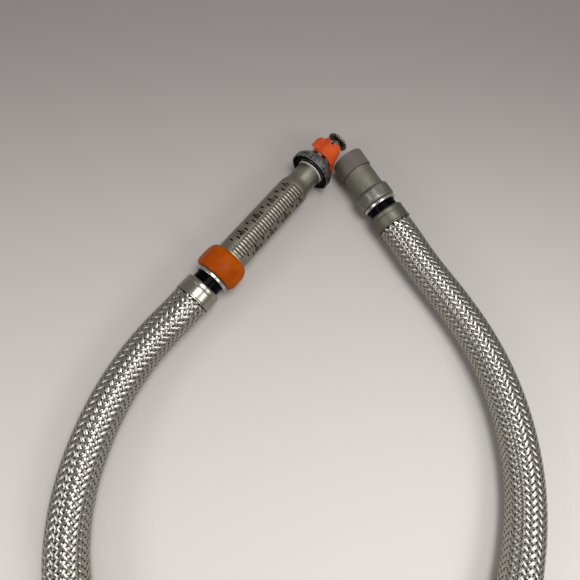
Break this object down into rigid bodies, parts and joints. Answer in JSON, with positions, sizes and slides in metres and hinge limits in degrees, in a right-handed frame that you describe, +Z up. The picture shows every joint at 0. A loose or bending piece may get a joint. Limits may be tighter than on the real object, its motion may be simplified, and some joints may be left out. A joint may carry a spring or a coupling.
{
  "type": "flexible sprinkler drop",
  "caption": "Flexible sprinkler drop: looped braided metal hose with a nipple at one end and a ribbed reducer, orange nut and capped pendent sprinkler at the other.",
  "frame": {"origin": "bottom centre, on the floor, of the box round the fittings and both hose ends, the hose itself left out", "axes": "+Z up from the floor it lies on; the sprinkler end points 22.9 degrees from +X towards +Y and the branch end 94.5 degrees from +X towards +Y"},
  "size_m": [0.4407, 0.514, 0.044],
  "materials": {
    "braid": "woven stainless wire ribbons, fine and slightly glossy",
    "ferrule": "pressed stainless steel, satin",
    "steel": "stainless steel, satin",
    "zinc": "zinc-plated steel, dull silver grey",
    "rubber": "black rubber, matt",
    "orange": "burnt orange coating, semi-gloss",
    "grey": "grey plastic, satin",
    "red": "red-orange plastic, satin",
    "chrome": "bright plated metal",
    "deflector": "darkened metal, satin",
    "brass": "plain brass",
    "glass": "clear glass with a red liquid"
  },
  "bodies": {
    "hose_set": {"hose": "braid", "sprinkler_ferrule": "ferrule", "branch_ferrule": "ferrule", "sprinkler_stub": "steel", "branch_stub": "steel", "sprinkler_isolation_sleeve": "rubber", "branch_isolation_sleeve": "rubber", "sprinkler_gasket": "rubber", "branch_gasket": "rubber", "reducer": "zinc", "nipple": "zinc", "thread_protector": "grey", "sprinkler_frame": "chrome", "spring_washer": "steel", "orifice_seal": "brass", "glass_bulb": "glass", "compression_screw": "chrome", "deflector": "deflector", "escutcheon_ring": "chrome"},
    "reducer_nut_carriage": {"reducer_thrust_ring": "zinc"},
    "reducer_nut": {"reducer_nut": "orange"},
    "nipple_nut_carriage": {"nipple_thrust_ring": "zinc"},
    "nipple_nut": {"nipple_nut": "zinc"},
    "protective_cap": {"protective_cap": "red"}
  },
  "joints": [
    {"name": "reducer_nut_slide", "type": "slide", "parent": "hose_set", "child": "reducer_nut_carriage", "axis": [-0.9212, -0.3891, 0], "range_m": [0, 0.0081]},
    {"name": "reducer_nut_turn", "type": "hinge", "parent": "reducer_nut_carriage", "child": "reducer_nut", "pos_m": [-0.08483, -0.02704, 0.022], "axis": [-0.9212, -0.3891, 0], "range_deg": [0, 1260]},
    {"name": "nipple_nut_slide", "type": "slide", "parent": "hose_set", "child": "nipple_nut_carriage", "axis": [0.0785, -0.9969, 0], "range_m": [0, 0.00695]},
    {"name": "nipple_nut_turn", "type": "hinge", "parent": "nipple_nut_carriage", "child": "nipple_nut", "pos_m": [0.09817, -0.02984, 0.0183], "axis": [0.0785, -0.9969, 0], "range_deg": [0, 1080]},
    {"name": "cap_lift", "type": "slide", "parent": "hose_set", "child": "protective_cap", "axis": [0, 0, 1], "range_m": [0, 0.04]}
  ],
  "couplings": [
    {"joint": "reducer_nut_slide", "follows": "reducer_nut_turn", "m_per_rad": 0.0003675},
    {"joint": "nipple_nut_slide", "follows": "nipple_nut_turn", "m_per_rad": 0.0003675}
  ]
}
